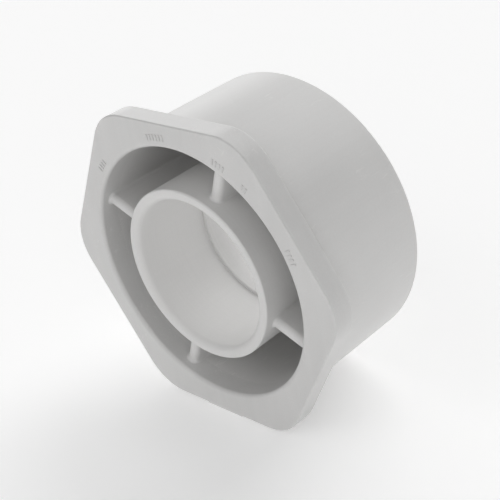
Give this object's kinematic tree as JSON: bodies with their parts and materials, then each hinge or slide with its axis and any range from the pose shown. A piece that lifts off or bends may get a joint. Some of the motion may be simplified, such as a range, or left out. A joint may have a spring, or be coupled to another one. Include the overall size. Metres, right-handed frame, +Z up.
{
  "type": "hexagonal reducer bushing",
  "caption": "Moulded plastic pipe reducer bushing: a round spigot outside, a smaller solvent-weld socket inside, radial ribs between them and a hexagonal flange.",
  "frame": {"origin": "centre of the small socket's mouth, in the plane of the flange's face", "axes": "+Y along the fitting's axis from the flange face to the spigot's tip, +Z up, square to one flat of the hexagon, X along the flats"},
  "size_m": [0.1332, 0.0601, 0.1217],
  "materials": {
    "moulded_plastic": "satin as moulded, light grey"
  },
  "bodies": {
    "root": {"hex_flange": "moulded_plastic", "spigot_barrel": "moulded_plastic", "socket_hub": "moulded_plastic", "pipe_stop": "moulded_plastic", "flow_bell": "moulded_plastic", "rib_1": "moulded_plastic", "rib_2": "moulded_plastic", "rib_3": "moulded_plastic", "rib_4": "moulded_plastic", "gate_vestige": "moulded_plastic", "face_marks": "moulded_plastic"}
  },
  "joints": []
}
